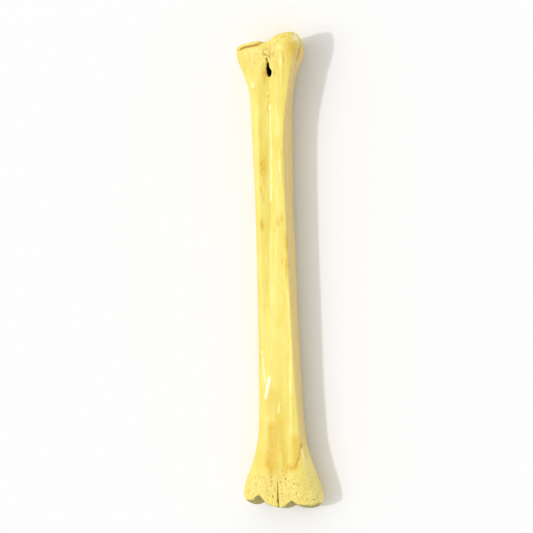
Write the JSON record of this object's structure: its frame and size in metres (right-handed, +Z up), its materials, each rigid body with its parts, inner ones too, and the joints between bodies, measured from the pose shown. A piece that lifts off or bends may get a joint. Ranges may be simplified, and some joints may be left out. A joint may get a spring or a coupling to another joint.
{
  "type": "giraffe cannon bone",
  "caption": "Long fused foot bone of a young giraffe with a grooved, boxy shaft, flared ends, a vessel slit and an open, knobbed growth surface; lies on its back.",
  "frame": {"origin": "centre of the bounding box across and along the bone, at the height of the surface it lies on", "axes": "+X across the bone to its right seen from the front, +Y along it towards the proximal (ankle) end, +Z up through the front (dorsal) face"},
  "size_m": [0.1044, 0.6198, 0.0679],
  "materials": {
    "bone": "glossy clear-varnished yellow cream bone"
  },
  "bodies": {
    "root": {"cannon_bone": "bone"}
  },
  "joints": []
}
